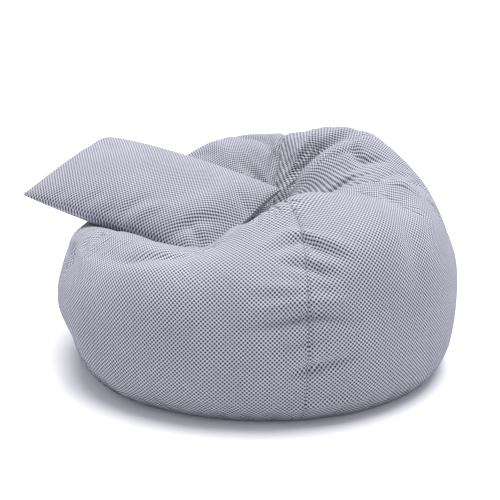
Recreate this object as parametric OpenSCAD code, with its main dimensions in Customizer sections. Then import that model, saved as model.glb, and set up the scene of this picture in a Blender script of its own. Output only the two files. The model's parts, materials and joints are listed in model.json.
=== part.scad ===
// Bean bag chair with a loose rectangular cushion.
// Four tapering gore panels meet at a point in the seat and are sewn to a two-part round base.
// The base zip opens the cover, a second zip opens the liner that holds the beads.
// Millimetres, +Z up. The origin is the centre of the flat base, on the floor.
// +X points to the high side, -Y to the front, the seat dips towards -X.

/* [Bag] */
// Overall width of the filled bag
bag_width = 900; // [860:5:940]
// Height of the ridge behind the seat
bag_height = 470; // [450:5:490]
// Thickness of the woven cover
cover_thickness = 2.5; // [2:0.1:3]
// Gap left between two neighbouring cover panels along a seam
seam_gap = 0.5; // [0.3:0.1:1]

/* [Liner and beads] */
// Depth of the liner below the outside of the cover
liner_depth = 6.5; // [6.2:0.1:7]
// Thickness of the liner cloth
liner_thickness = 1.5; // [1:0.1:1.6]
// Depth of the bead filling below the outside of the cover
bead_depth = 11; // [10.5:0.5:16]

/* [Cushion] */
// Length of the cushion between its corners
cushion_length = 500; // [480:5:510]
// Width of the cushion between its corners
cushion_width = 300; // [285:5:305]
// Thickness of the cushion in the middle
cushion_thickness = 112; // [100:1:116]
// Distance the long and short sides pull in between the corners
cushion_pull_in = 10; // [6:1:14]

/* [Zips] */
// Length of the zip in the base of the cover
base_zip_length = 600; // [560:10:640]
// Length of the zip in the base of the liner
liner_zip_length = 500; // [440:10:540]
// Length of the zip in the long side of the cushion
cushion_zip_length = 340; // [300:10:360]

/* [Smoothness] */
// Strips across each gore panel
gore_columns = 12; // [8:2:14]
// Strips from the base to the tip of each gore panel
gore_rows = 24; // [20:2:28]
// Strips along and across the cushion
cushion_columns = 20; // [16:2:22]

/* [Hidden] */
// Form of the bag at twelve compass stations 30 degrees apart, clockwise from the front.
// Radius of the flat patch the bag rests on
contact_radius = [385, 395, 400, 390, 380, 370, 370, 370, 370, 378, 385, 380];
// Radius at the belly
belly_radius = [445, 447, 441, 436, 430, 430, 430, 430, 432, 442, 445, 445];
// Height of the belly
belly_height = [170, 170, 170, 168, 168, 168, 168, 165, 155, 145, 148, 160];
// Height of the rim round the seat
rim_height = [356, 398, 392, 396, 452, 470, 455, 428, 325, 298, 306, 318];
// Radius of the rim round the seat
rim_radius = [240, 270, 290, 290, 265, 240, 240, 250, 285, 360, 330, 270];
// Extra hollow between the rim and the middle of the seat
seat_dip = [15, 0, 0, 0, 0, 0, 10, 35, 55, 70, 75, 55];
// Height of the point where the gores meet
tip_height = 285;
// Place of the deepest dip, above 1 is nearer the rim
dip_place = 1.6;
// Shift of the seat from the middle of the base
seat_shift = [20, 30];
// Fullness of the shoulder between belly and rim, 2 is an ellipse
shoulder = [2.2, 2.2, 2.2, 2.2, 2.2, 2.2, 2.2, 2.3, 2.6, 3.2, 2.9, 2.4];
// Share of a gore used below the belly, and up to the rim
belly_at = 0.22;
rim_at = 0.60;
// Share of a gore covered by whole strips, and distance of its tip from the meeting point
strips_end = 0.965;
tip_gap = 0.8;

// Compass angle of each seam at the base and at the rim
seam_base = [12, 104, 195, 284, 372];
seam_rim = [12, 72, 168, 281, 372];

wide = bag_width / 900;
high = bag_height / 470;

// Periodic Catmull-Rom curve through the twelve stations
function ring(v, a) =
    let(
        t = (a / 30) % 12,
        p = t < 0 ? t + 12 : t,
        i = floor(p),
        f = p - i,
        p0 = v[(i + 11) % 12],
        p1 = v[i % 12],
        p2 = v[(i + 1) % 12],
        p3 = v[(i + 2) % 12]
    )
    p1 + 0.5 * f * (p2 - p0 + f * (2 * p0 - 5 * p1 + 4 * p2 - p3 + f * (3 * (p1 - p2) + p3 - p0)));

function ease(t) = t <= 0 ? 0 : t >= 1 ? 1 : t * t * (3 - 2 * t);

// Radius and height of the bag outline at compass angle a and share s of the way to the tip
function outline(a, s) =
    s < belly_at ? foot_arc(a, 90 * s / belly_at)
    : s < rim_at ? shoulder_arc(a, 90 * (s - belly_at) / (rim_at - belly_at))
    : seat_curve(a, (1 - s) / (1 - rim_at));

function foot_arc(a, t) =
    let(rc = ring(contact_radius, a))
    [rc + (ring(belly_radius, a) - rc) * sin(t), ring(belly_height, a) * (1 - cos(t))];

function shoulder_arc(a, t) =
    let(e = 2 / ring(shoulder, a), rr = ring(rim_radius, a), zb = ring(belly_height, a))
    [rr + (ring(belly_radius, a) - rr) * pow(cos(t), e), zb + (ring(rim_height, a) - zb) * pow(sin(t), e)];

function seat_curve(a, q) =
    let(climb = (ring(rim_height, a) - tip_height) * ease(q), dip = ring(seat_dip, a) * sin(180 * pow(q, dip_place)))
    [ring(rim_radius, a) * q, tip_height + climb - dip];

// Point on the outside of the cover
function skin(a, s) =
    let(p = outline(a, s), w = ease((s - belly_at) / (rim_at - belly_at)))
    [wide * (seat_shift.x * w + p[0] * sin(a)), wide * (seat_shift.y * w - p[0] * cos(a)), high * p[1]];

// Outward direction at that point
function outward(a, s) =
    let(
        across = skin(a + 1, s) - skin(a - 1, s),
        up = skin(a, min(s + 0.004, 0.996)) - skin(a, max(s - 0.004, 0)),
        n = cross(across, up)
    )
    s <= 0 ? [0, 0, -1] : n / norm(n);

// Point a given depth below the outside of the cover
function below(a, s, depth) = skin(a, s) - depth * outward(a, s);

tip = [wide * seat_shift.x, wide * seat_shift.y, high * tip_height];

function row_share(i) = strips_end * i / gore_rows;
function seam_angle(k, s) = seam_base[k] + (seam_rim[k] - seam_base[k]) * ease(s / rim_at);
function span_angle(k, s, u) = (1 - u) * seam_angle(k, s) + u * seam_angle(k + 1, s);

// Triangles between two rows of equal length that start at points p and q
function strip(p, q, n) = [for (j = [0:n - 1])
    each [[p + j, q + j, q + j + 1], [p + j, q + j + 1, p + j + 1]]];
function flip(faces) = [for (f = faces) [f[2], f[1], f[0]]];

// Share across gore k that leaves half the seam gap free at one edge
function edge_share(k, s) =
    seam_gap / 2 / (outline(seam_angle(k, s), s)[0] * PI / 180) / (seam_angle(k + 1, s) - seam_angle(k, s));

function gore_row(k, i, depth) =
    let(s = row_share(i), e = edge_share(k, s))
    [for (j = [0:gore_columns]) below(span_angle(k, s, e + (1 - 2 * e) * j / gore_columns), s, depth)];

function gore_tip(k, depth) =
    let(a = span_angle(k, 1, 0.5))
    tip + [tip_gap * sin(a), -tip_gap * cos(a), -depth];

module gore(k) {
    c = gore_columns + 1;
    layer = c * (gore_rows + 1) + 1;
    points = [for (depth = [0, cover_thickness]) each concat(
        [for (i = [0:gore_rows]) each gore_row(k, i, depth)],
        [gore_tip(k, depth)])];
    top = [for (i = [0:gore_rows - 1]) each strip(i * c, (i + 1) * c, gore_columns)];
    last = gore_rows * c;
    fan = [for (j = [0:gore_columns - 1]) [last + j, layer - 1, last + j + 1]];
    skin_faces = concat(top, fan);
    inner = [for (f = flip(skin_faces)) [f[0] + layer, f[1] + layer, f[2] + layer]];
    foot = flip(strip(0, layer, gore_columns));
    left = concat(
        [for (i = [0:gore_rows - 1]) each [[i * c, layer + i * c, layer + (i + 1) * c],
            [i * c, layer + (i + 1) * c, (i + 1) * c]]],
        [[last, layer + last, 2 * layer - 1], [last, 2 * layer - 1, layer - 1]]);
    g = gore_columns;
    right = concat(
        [for (i = [0:gore_rows - 1]) each [[i * c + g, layer + (i + 1) * c + g, layer + i * c + g],
            [i * c + g, (i + 1) * c + g, layer + (i + 1) * c + g]]],
        [[last + g, 2 * layer - 1, layer + last + g], [last + g, layer - 1, 2 * layer - 1]]);
    polyhedron(points, concat(skin_faces, inner, foot, left, right), convexity = 6);
}

// Rings of the closed forms inside the cover, on the same strips as the gores
function dome_ring(i, depth) =
    let(s = row_share(i))
    [for (k = [0:3]) for (j = [0:gore_columns - 1]) below(span_angle(k, s, j / gore_columns), s, depth)];
ring_size = 4 * gore_columns;

function dome_points(depth) = concat(
    [for (i = [0:gore_rows]) each dome_ring(i, depth)], [tip - [0, 0, depth]]);

function closed_strip(p, q) = [for (j = [0:ring_size - 1]) let(n = (j + 1) % ring_size)
    each [[p + j, q + j, q + n], [p + j, q + n, p + n]]];

dome_layer = ring_size * (gore_rows + 1) + 1;
dome_faces = concat(
    [for (i = [0:gore_rows - 1]) each closed_strip(i * ring_size, (i + 1) * ring_size)],
    [for (j = [0:ring_size - 1])
        [gore_rows * ring_size + j, dome_layer - 1, gore_rows * ring_size + (j + 1) % ring_size]]);

// Hollow dome, open below
module dome_shell(depth, thickness) {
    inner = [for (f = flip(dome_faces)) [f[0] + dome_layer, f[1] + dome_layer, f[2] + dome_layer]];
    foot = flip(closed_strip(0, dome_layer));
    polyhedron(concat(dome_points(depth), dome_points(depth + thickness)), concat(dome_faces, inner, foot),
        convexity = 6);
}

// Filled dome with a flat underside
module dome_solid(depth) {
    floor_fan = [for (j = [0:ring_size - 1]) [j, (j + 1) % ring_size, dome_layer]];
    polyhedron(concat(dome_points(depth), [[0, 0, depth]]), concat(dome_faces, floor_fan), convexity = 6);
}

// Flat round base inside the foot of the dome
module base_outline() {
    polygon([for (k = [0:3]) for (j = [0:gore_columns - 1])
        let(a = span_angle(k, 0, j / gore_columns), r = wide * ring(contact_radius, a) - seam_gap)
        [r * sin(a), -r * cos(a)]]);
}

// Part of the base on one side of a zip, cut out round the zip. side is -1 for the front, 1 for the rear.
module base_part(side, zip_y, zip_length, z, thickness) {
    other_side = zip_y + (side < 0 ? -seam_gap / 2 : seam_gap / 2 - bag_width);
    window_length = zip_length + 2 * (stop_length + stop_room);
    window_width = 2 * tape_edge + seam_gap;
    translate([0, 0, z]) linear_extrude(thickness) difference() {
        base_outline();
        translate([-bag_width / 2, other_side]) square(bag_width);
        translate([-window_length / 2, zip_y - window_width / 2]) square([window_length, window_width]);
    }
}

// Zips. Rows of the coil run on both sides of a slot, in which the neck of the slider travels.
slot_half = 1;
coil_width = 2.4;
coil_height = 1.4;
tape_thickness = 0.8;
tape_edge = 15;
row_gap = 0.2;
run_gap = 0.35;
stop_length = 3;
stop_room = 1;
plate_thickness = 0.8;
slider_length = 14;
slider_tail = 0.7;
slider_corner = 1.5;
neck_length = 5;
coil_edge = slot_half + coil_width;

// Half of a flat zip: its woven tape
module flat_tape(side, length) {
    w = tape_edge - coil_edge - row_gap;
    translate([-length / 2, side > 0 ? coil_edge + row_gap : -tape_edge, -tape_thickness / 2])
        cube([length, w, tape_thickness]);
}

// Half of a flat zip: its row of coil
module flat_coil(side, length) {
    translate([-length / 2, side > 0 ? slot_half : -coil_edge, -coil_height / 2])
        cube([length, coil_width, coil_height]);
}

// Metal stop clamped over both rows at one end of a flat zip
module flat_stop(side, length) {
    start = side > 0 ? length / 2 + row_gap : -length / 2 - row_gap - stop_length;
    translate([start, -coil_edge, -coil_height])
        cube([stop_length, 2 * coil_edge, 2 * coil_height]);
}

// Slider of a flat zip without a tab: two plates joined by the neck in the slot
module flat_slider() {
    plate_z = coil_height / 2 + run_gap;
    neck = slot_half - run_gap;
    for (z = [plate_z, -plate_z - plate_thickness])
        translate([0, 0, z]) linear_extrude(plate_thickness) hull() {
            translate([-slider_length / 2, -coil_edge * slider_tail])
                square([1, 2 * coil_edge * slider_tail]);
            for (y = [-1, 1])
                translate([slider_length / 2 - slider_corner, y * (coil_edge - slider_corner / 3)])
                    circle(r = slider_corner, $fn = 24);
        }
    translate([-slider_corner, -neck, -plate_z - plate_thickness / 2])
        cube([neck_length, 2 * neck, 2 * plate_z + plate_thickness]);
}

// Height of the middle of each zip and its place across the base
base_zip_y = 60;
base_zip_z = 2.1;
liner_zip_y = -60;
liner_zip_z = liner_depth + liner_thickness / 2 + tape_thickness / 2;
module at_base_zip() translate([0, base_zip_y, base_zip_z]) children();
module at_liner_zip() translate([0, liner_zip_y, liner_zip_z]) children();
slider_margin = 12;

// Nodes of the bag
module front_left_panel() color("#b4b4c0") gore(3);
module front_right_panel() color("#b0b0bc") gore(0);
module rear_right_panel() color("#b4b4c0") gore(1);
module rear_left_panel() color("#b0b0bc") gore(2);
module base_front_part() color("#a8a8b4")
    base_part(-1, base_zip_y, base_zip_length, 0, cover_thickness);
module base_rear_part() color("#a4a4b0")
    base_part(1, base_zip_y, base_zip_length, 0, cover_thickness);
module base_zip_tape_front() color("#8c8c98") at_base_zip() flat_tape(-1, base_zip_length);
module base_zip_tape_rear() color("#8c8c98") at_base_zip() flat_tape(1, base_zip_length);
module base_zip_coil_front() color("#777782") at_base_zip() flat_coil(-1, base_zip_length);
module base_zip_coil_rear() color("#777782") at_base_zip() flat_coil(1, base_zip_length);
module base_zip_stop_left() color("#9a9a9a") at_base_zip() flat_stop(-1, base_zip_length);
module base_zip_stop_right() color("#9a9a9a") at_base_zip() flat_stop(1, base_zip_length);
module base_zip_slider() color("#808088")
    at_base_zip() translate([base_zip_length / 2 - slider_margin, 0, 0]) flat_slider();

module liner_dome() color("#eeeeea") dome_shell(liner_depth, liner_thickness);
module liner_base_front_part() color("#e8e8e4")
    base_part(-1, liner_zip_y, liner_zip_length, liner_depth, liner_thickness);
module liner_base_rear_part() color("#e8e8e4")
    base_part(1, liner_zip_y, liner_zip_length, liner_depth, liner_thickness);
module liner_zip_tape_front() color("#dcdcdc") at_liner_zip() flat_tape(-1, liner_zip_length);
module liner_zip_tape_rear() color("#dcdcdc") at_liner_zip() flat_tape(1, liner_zip_length);
module liner_zip_coil_front() color("#cfcfcf") at_liner_zip() flat_coil(-1, liner_zip_length);
module liner_zip_coil_rear() color("#cfcfcf") at_liner_zip() flat_coil(1, liner_zip_length);
module liner_zip_stop_left() color("#9a9a9a") at_liner_zip() flat_stop(-1, liner_zip_length);
module liner_zip_stop_right() color("#9a9a9a") at_liner_zip() flat_stop(1, liner_zip_length);
module liner_zip_slider() color("#b0b0b0")
    at_liner_zip() translate([liner_zip_length / 2 - slider_margin, 0, 0]) flat_slider();
module bead_fill() color("#f6f6f4") dome_solid(bead_depth);

// Cushion, drawn lying flat round its own middle and then laid into the seat
cushion_at = [-243, 88, 361];
cushion_turn = [16, 7.5, -34];
panel_thickness = 1.5;
seam_half = 0.3;
plumpness = 0.55;
cushion_rise = cushion_thickness / 2 - panel_thickness - seam_half;
module in_seat() translate([wide * cushion_at.x, wide * cushion_at.y, high * cushion_at.z])
    rotate(cushion_turn) children();

// Share of the way across, closer together towards the seams
function crowded(i) = sin(180 * i / cushion_columns - 90);
function side_line(u) = cushion_width / 2 - cushion_pull_in * (1 - u * u);
function end_line(v) = cushion_length / 2 - cushion_pull_in * (1 - v * v);
function rise(u, v) = cushion_rise * pow(max(0, (1 - u * u) * (1 - v * v)), plumpness);
function cushion_point(i, j, lift) =
    let(u = crowded(i), v = crowded(j))
    [u * end_line(v), v * side_line(u), rise(u, v) + lift];
function cushion_grid(lift) = [for (i = [0:cushion_columns]) for (j = [0:cushion_columns])
    cushion_point(i, j, lift)];
cushion_row = cushion_columns + 1;
cushion_size = cushion_row * cushion_row;
cushion_faces = [for (i = [0:cushion_columns - 1])
    each flip(strip(i * cushion_row, (i + 1) * cushion_row, cushion_columns))];
// Numbers of the points round the rim of the grid, in order
cushion_rim = concat(
    [for (i = [0:cushion_columns - 1]) i * cushion_row],
    [for (j = [0:cushion_columns - 1]) cushion_columns * cushion_row + j],
    [for (i = [cushion_columns:-1:1]) i * cushion_row + cushion_columns],
    [for (j = [cushion_columns:-1:1]) j]);
rim_size = len(cushion_rim);
function rim_wall(lower, upper) = [for (m = [0:rim_size - 1])
    let(p = cushion_rim[m], n = cushion_rim[(m + 1) % rim_size])
    each [[lower + p, upper + p, upper + n], [lower + p, upper + n, lower + n]]];
function shift(faces, by) = [for (f = faces) [f[0] + by, f[1] + by, f[2] + by]];

// Upper half of the cushion cover, lying on the seam
module cushion_panel() {
    polyhedron(
        concat(cushion_grid(seam_half + panel_thickness), cushion_grid(seam_half)),
        concat(cushion_faces, shift(flip(cushion_faces), cushion_size), rim_wall(cushion_size, 0)),
        convexity = 4);
}

// Closed cushion form, the upper and lower halves joined round the rim
function mirrored(points) = [for (p = points) [p.x, p.y, -p.z]];
closed_faces = concat(cushion_faces, shift(flip(cushion_faces), cushion_size), rim_wall(cushion_size, 0));

// The inner case is the same cover made smaller, the filling is solid
case_scale = 0.955;
filling_scale = 0.93;
filling_edge = 1.2;
module case_panel() scale(case_scale) cushion_panel();
module filling_form() polyhedron(
    concat([for (p = cushion_grid(filling_edge)) filling_scale * p],
        [for (p = mirrored(cushion_grid(filling_edge))) filling_scale * p]),
    closed_faces, convexity = 4);

// Zip in the far long side of the cushion. It is folded along its middle, one tape over the other,
// with the two rows of coil at the outer edge.
tape_fold = 3.5;
zip_side = cushion_width / 2 - tape_fold;
row_low = 0.75;
row_high = 2.3;
tongue_half = 0.4;
wall_thickness = 1.2;
slider_inner = zip_side - 1;
stop_overlap = 0.5;
stop_lip = 0.3;
wall_at = zip_side + row_gap + coil_width + run_gap;
module side_tape(side) {
    steps = 16;
    half = cushion_zip_length / 2;
    edge = [for (m = [0:steps]) let(x = half * (2 * m / steps - 1))
        [x, side_line(x / (cushion_length / 2 - cushion_pull_in)) + seam_half]];
    translate([0, 0, side > 0 ? row_low : -row_low - tape_thickness]) linear_extrude(tape_thickness)
        polygon(concat(edge, [[half, zip_side], [-half, zip_side]]));
}
module side_coil(side) {
    translate([-cushion_zip_length / 2, zip_side + row_gap, side > 0 ? row_low : -row_high])
        cube([cushion_zip_length, coil_width, row_high - row_low]);
}
module side_stop(side) {
    translate([side > 0 ? cushion_zip_length / 2 + row_gap : -cushion_zip_length / 2 - row_gap - stop_length,
        zip_side - stop_overlap, -row_high - stop_lip])
        cube([stop_length, coil_width + row_gap + 2 * stop_overlap, 2 * (row_high + stop_lip)]);
}

pivot_reach = 3;
pivot_at = wall_at + wall_thickness + pivot_reach;
pin_radius = 0.7;
eye_radius = 1.1;
pull_width = 4;
pull_thickness = 2;
pull_length = 26;
cord_hole_at = 8;
cord_hole_radius = 1;
lug_low = 1.5;
lug_thickness = 1.2;
lug_radius = 1.8;
lug_width = 5;
module side_slider() {
    plate_low = row_high + run_gap;
    plate_high = plate_low + plate_thickness;
    x = -slider_length / 2;
    for (z = [plate_low, -plate_high])
        translate([x, slider_inner, z])
            cube([slider_length, wall_at + wall_thickness - slider_inner, plate_thickness]);
    translate([x, wall_at, -plate_high]) cube([slider_length, wall_thickness, 2 * plate_high]);
    tongue_at = zip_side + 3 * row_gap;
    translate([x, tongue_at, -tongue_half]) cube([slider_length, wall_at - zip_side, 2 * tongue_half]);
    for (z = [lug_low, -lug_low - lug_thickness])
        translate([0, 0, z]) linear_extrude(lug_thickness) hull() {
            translate([0, pivot_at]) circle(r = lug_radius, $fn = 24);
            translate([-lug_width / 2, wall_at]) square([lug_width, wall_thickness]);
        }
    translate([0, pivot_at, -lug_low - lug_thickness / 2])
        cylinder(r = pin_radius, h = 2 * lug_low + lug_thickness, $fn = 24);
}
module side_pull() {
    translate([0, pivot_at, -pull_thickness / 2]) linear_extrude(pull_thickness) difference() {
        union() {
            circle(r = pull_width / 2, $fn = 32);
            translate([0, -pull_width / 2]) square([pull_length - pull_width / 2, pull_width]);
            translate([pull_length - pull_width / 2, 0]) circle(r = pull_width / 2, $fn = 32);
        }
        circle(r = eye_radius, $fn = 24);
        translate([pull_length - cord_hole_at, 0]) circle(r = cord_hole_radius, $fn = 24);
    }
}
side_slider_x = cushion_zip_length / 2 - slider_margin;

// Nodes of the cushion
module cushion_top_panel() color("#b6b6c2") in_seat() cushion_panel();
module cushion_bottom_panel() color("#b0b0bc") in_seat() mirror([0, 0, 1]) cushion_panel();
module cushion_case_upper() color("#efefec") in_seat() case_panel();
module cushion_case_lower() color("#e9e9e6") in_seat() mirror([0, 0, 1]) case_panel();
module cushion_filling() color("#f8f8f6") in_seat() filling_form();
module cushion_zip_tape_upper() color("#8c8c98") in_seat() side_tape(1);
module cushion_zip_tape_lower() color("#8c8c98") in_seat() side_tape(-1);
module cushion_zip_coil_upper() color("#777782") in_seat() side_coil(1);
module cushion_zip_coil_lower() color("#777782") in_seat() side_coil(-1);
module cushion_zip_stop_left() color("#9a9a9a") in_seat() side_stop(-1);
module cushion_zip_stop_right() color("#9a9a9a") in_seat() side_stop(1);
module cushion_zip_slider() color("#808088") in_seat() translate([side_slider_x, 0, 0]) side_slider();
module cushion_zip_pull() color("#808088") in_seat() translate([side_slider_x, 0, 0]) side_pull();

front_left_panel();
front_right_panel();
rear_right_panel();
rear_left_panel();
base_front_part();
base_rear_part();
base_zip_tape_front();
base_zip_tape_rear();
base_zip_coil_front();
base_zip_coil_rear();
base_zip_stop_left();
base_zip_stop_right();
base_zip_slider();
liner_dome();
liner_base_front_part();
liner_base_rear_part();
liner_zip_tape_front();
liner_zip_tape_rear();
liner_zip_coil_front();
liner_zip_coil_rear();
liner_zip_stop_left();
liner_zip_stop_right();
liner_zip_slider();
bead_fill();
cushion_top_panel();
cushion_bottom_panel();
cushion_case_upper();
cushion_case_lower();
cushion_filling();
cushion_zip_tape_upper();
cushion_zip_tape_lower();
cushion_zip_coil_upper();
cushion_zip_coil_lower();
cushion_zip_stop_left();
cushion_zip_stop_right();
cushion_zip_slider();
cushion_zip_pull();
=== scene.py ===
import json
import math

import bpy
import numpy as np
from mathutils import Matrix, Vector
from mathutils.bvhtree import BVHTree


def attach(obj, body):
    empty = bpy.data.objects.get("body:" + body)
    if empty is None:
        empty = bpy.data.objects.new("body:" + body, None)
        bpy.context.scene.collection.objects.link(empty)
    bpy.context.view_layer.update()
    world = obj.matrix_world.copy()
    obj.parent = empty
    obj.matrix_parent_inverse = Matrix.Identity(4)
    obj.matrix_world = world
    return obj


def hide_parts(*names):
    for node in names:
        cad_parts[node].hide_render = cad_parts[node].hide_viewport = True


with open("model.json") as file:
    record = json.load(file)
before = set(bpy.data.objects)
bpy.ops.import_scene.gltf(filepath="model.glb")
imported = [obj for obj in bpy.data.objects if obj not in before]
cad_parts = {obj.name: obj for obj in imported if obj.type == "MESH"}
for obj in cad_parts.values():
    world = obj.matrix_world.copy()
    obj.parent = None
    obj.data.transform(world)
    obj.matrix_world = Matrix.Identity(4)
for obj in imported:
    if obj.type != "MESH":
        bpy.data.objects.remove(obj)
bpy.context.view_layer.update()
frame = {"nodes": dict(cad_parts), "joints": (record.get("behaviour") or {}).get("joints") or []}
nodes = frame["nodes"]

GORES = ["front_right_panel", "rear_right_panel", "rear_left_panel", "front_left_panel"]


# ---------------------------------------------------------------- camera

CAMERA_PLACE = (-0.016, -2.436, 0.937)
CAMERA_TILT = 74        # degrees up from looking straight down
LENS = 82               # focal length in millimetres
SENSOR = 36             # width of the sensor in millimetres
CLIP_END = 50           # nothing beyond this many metres is drawn


def make_camera():
    data = bpy.data.cameras.new("camera")
    data.lens = LENS
    data.sensor_width = SENSOR
    data.clip_end = CLIP_END
    cam = bpy.data.objects.new("camera", data)
    cam.location = CAMERA_PLACE
    cam.rotation_euler = (math.radians(CAMERA_TILT), 0, 0)
    bpy.context.collection.objects.link(cam)
    bpy.context.scene.camera = cam


# ---------------------------------------------------------------- form of the bag, read from the frame

AZIMUTHS = 720          # samples round the bag
ELEVATIONS = 121        # samples from the foot to the tip
MIDDLE_HEIGHT = 0.10    # height of the point, below the tip, that every radius is measured from
RAY = 1.0               # length of the rays that find the gores, more than any radius
FOOT_HEIGHT = 0.001     # height at which the outline of the base is read
LOWEST_SHARE = 0.004    # the first rays pass this share of the way up, clear of the foot's edge
STEEPEST = math.radians(89)     # and the last ones pass just beside the tip
PROBE = 0.004           # radians between a ray and the twins beside it, so that none slips through a seam
LEAST_COSINE = 0.05     # the twins turn further where the cosine of the elevation is small, down to this
SEAMS_STRAIGHT = 0.75   # beyond this share of the way to the tip the seams run straight
FOOT_BLUR = 4           # blurs in samples: the foot, round the bag, up the bag and along the seams
ROUND_BLUR = 3
UPWARD_BLUR = 2
SEAM_BLUR = 5


def tree_of(node):
    mesh = nodes[node].data
    corners = [v.co.copy() for v in mesh.vertices]
    return BVHTree.FromPolygons(corners, [tuple(p.vertices) for p in mesh.polygons])


def gather_tip():
    """The point where the four gores meet."""
    clouds = [np.array([v.co for v in nodes[n].data.vertices]) for n in GORES]
    first = clouds[0]
    far = sum(np.min(np.linalg.norm(first[:, None] - c[None], axis=2), axis=1) for c in clouds[1:])
    return first[np.argmin(far)]


def smooth(field, sigma, axis, wrap):
    """Gaussian blur of a table along one axis."""
    reach = int(3 * sigma) + 1
    kernel = np.exp(-0.5 * (np.arange(-reach, reach + 1) / sigma) ** 2)
    kernel /= kernel.sum()
    moved = np.moveaxis(field, axis, 0)
    if wrap:
        before, after = moved[-reach:], moved[:reach]
    else:
        before = 2 * moved[:1] - moved[reach:0:-1]
        after = 2 * moved[-1:] - moved[-2:-reach - 2:-1]
    padded = np.concatenate([before, moved, after])
    out = sum(k * padded[i:i + len(moved)] for i, k in enumerate(kernel))
    return np.moveaxis(out, 0, axis)


class BagForm:
    """Radius of the bag about a middle point below its tip, and its four seams, sampled from the gores."""

    def __init__(self):
        tip = gather_tip()
        self.middle = np.array([tip[0], tip[1], MIDDLE_HEIGHT])
        trees = [tree_of(n) for n in GORES]
        base = [tree_of("base_front_part"), tree_of("base_rear_part")]
        azimuth = np.arange(AZIMUTHS) * 2 * math.pi / AZIMUTHS
        foot = np.array([self.reach_flat(base, a) for a in azimuth])
        self.foot_elevation = smooth(np.arctan2(-self.middle[2], foot), FOOT_BLUR, 0, True)
        share = np.linspace(0, 1, ELEVATIONS)
        radius = np.zeros((AZIMUTHS, ELEVATIONS))
        label = np.zeros((AZIMUTHS, ELEVATIONS), int)
        for i, a in enumerate(azimuth):
            for j, s in enumerate(share):
                e = min(self.elevation(i, max(s, LOWEST_SHARE)), STEEPEST)
                radius[i, j], label[i, j] = self.reach(trees, a, e)
        radius[:, 0] = np.hypot(foot, self.middle[2])
        for j in range(1, ELEVATIONS):
            radius[:, j] = np.where(radius[:, j] > 0, radius[:, j], radius[:, j - 1])
        radius = smooth(radius, ROUND_BLUR, 0, True)
        self.radius = smooth(radius, UPWARD_BLUR, 1, False)
        self.radius[:, -1] = self.radius[:, -1].mean()
        self.seams = self.find_seams(label)

    def elevation(self, i, s):
        """Elevation at a share of the way from the foot to the tip, at an azimuth sample."""
        low = self.foot_elevation[i]
        return low + s * (math.pi / 2 - low)

    def direction(self, a, e):
        """The way out at azimuth a, counted from the front to the right, and elevation e."""
        return Vector((math.sin(a) * math.cos(e), -math.cos(a) * math.cos(e), math.sin(e)))

    def reach(self, trees, a, e):
        """Radius in a direction, and the number of the gore that it meets."""
        best, which = 0, 0
        step = PROBE / max(math.cos(e), LEAST_COSINE)
        for shift in (-step, 0, step):
            d = self.direction(a + shift, e)
            start = Vector(self.middle) + RAY * d
            for k, tree in enumerate(trees):
                hit = tree.ray_cast(start, -d, RAY)
                if hit[0] is not None and RAY - hit[3] > best:
                    best, which = RAY - hit[3], k
        return best, which

    def reach_flat(self, trees, a):
        """Radius of the flat base towards an azimuth."""
        d = self.direction(a, 0)
        start = Vector((self.middle[0], self.middle[1], FOOT_HEIGHT)) + RAY * d
        hits = [t.ray_cast(start, -d, RAY) for t in trees]
        return max(RAY - h[3] for h in hits if h[0] is not None)

    def find_seams(self, label):
        """Azimuth of the start of each gore at each share, in steps counted past the first seam."""
        seams = np.zeros((5, ELEVATIONS))
        straight = int(SEAMS_STRAIGHT * ELEVATIONS)
        for j in range(straight):
            row = label[:, j]
            for k in range(4):
                starts = [i for i in range(AZIMUTHS) if row[i] == k and row[i - 1] == (k + 3) % 4]
                seams[k, j] = starts[0] - 0.5 if starts else seams[k, j - 1]
        seams[:, straight:] = seams[:, straight - 1:straight]
        for k in range(1, 4):
            seams[k] = np.where(seams[k] < seams[0], seams[k] + AZIMUTHS, seams[k])
        seams[4] = seams[0] + AZIMUTHS
        return smooth(seams, SEAM_BLUR, 1, False)

    def point(self, column, j):
        """Point at a column number, which may be a fraction, and at elevation sample j."""
        low = np.floor(column).astype(int)
        f = column - low
        i, n = low % AZIMUTHS, (low + 1) % AZIMUTHS
        r = (1 - f) * self.radius[i, j] + f * self.radius[n, j]
        e0 = (1 - f) * self.foot_elevation[i] + f * self.foot_elevation[n]
        e = e0 + j / (ELEVATIONS - 1) * (math.pi / 2 - e0)
        a = column * 2 * math.pi / AZIMUTHS
        x, y = r * np.sin(a) * np.cos(e), -r * np.cos(a) * np.cos(e)
        return self.middle + np.stack([x, y, r * np.sin(e)], -1)

    def grid(self, columns, rows):
        """Points of the four gores: rows + 1 by 4 * columns, each column even along its length."""
        lines = []
        for k in range(4):
            for c in range(columns):
                t = c / columns
                track = (1 - t) * self.seams[k] + t * self.seams[k + 1]
                line = np.array([self.point(np.array(track[j]), j) for j in range(ELEVATIONS)])
                lines.append(even(line, rows))
        return np.stack(lines, 1)


def even(line, steps):
    """The same curve with its points the same distance apart."""
    length = np.concatenate([[0], np.cumsum(np.linalg.norm(np.diff(line, axis=0), axis=1))])
    at = np.linspace(0, length[-1], steps + 1)
    return np.stack([np.interp(at, length, line[:, i]) for i in range(3)], 1)


# ---------------------------------------------------------------- meshes

def new_mesh(name, points, faces, uvs=None):
    """A smooth-shaded object; uvs gives each layer's values at the face corners."""
    mesh = bpy.data.meshes.new(name)
    mesh.from_pydata([tuple(p) for p in points], [], faces)
    mesh.update()
    for key, values in (uvs or {}).items():
        mesh.uv_layers.new(name=key).data.foreach_set("uv", np.asarray(values, float).ravel())
    mesh.polygons.foreach_set("use_smooth", [True] * len(mesh.polygons))
    obj = bpy.data.objects.new(name, mesh)
    bpy.context.collection.objects.link(obj)
    return obj


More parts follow.
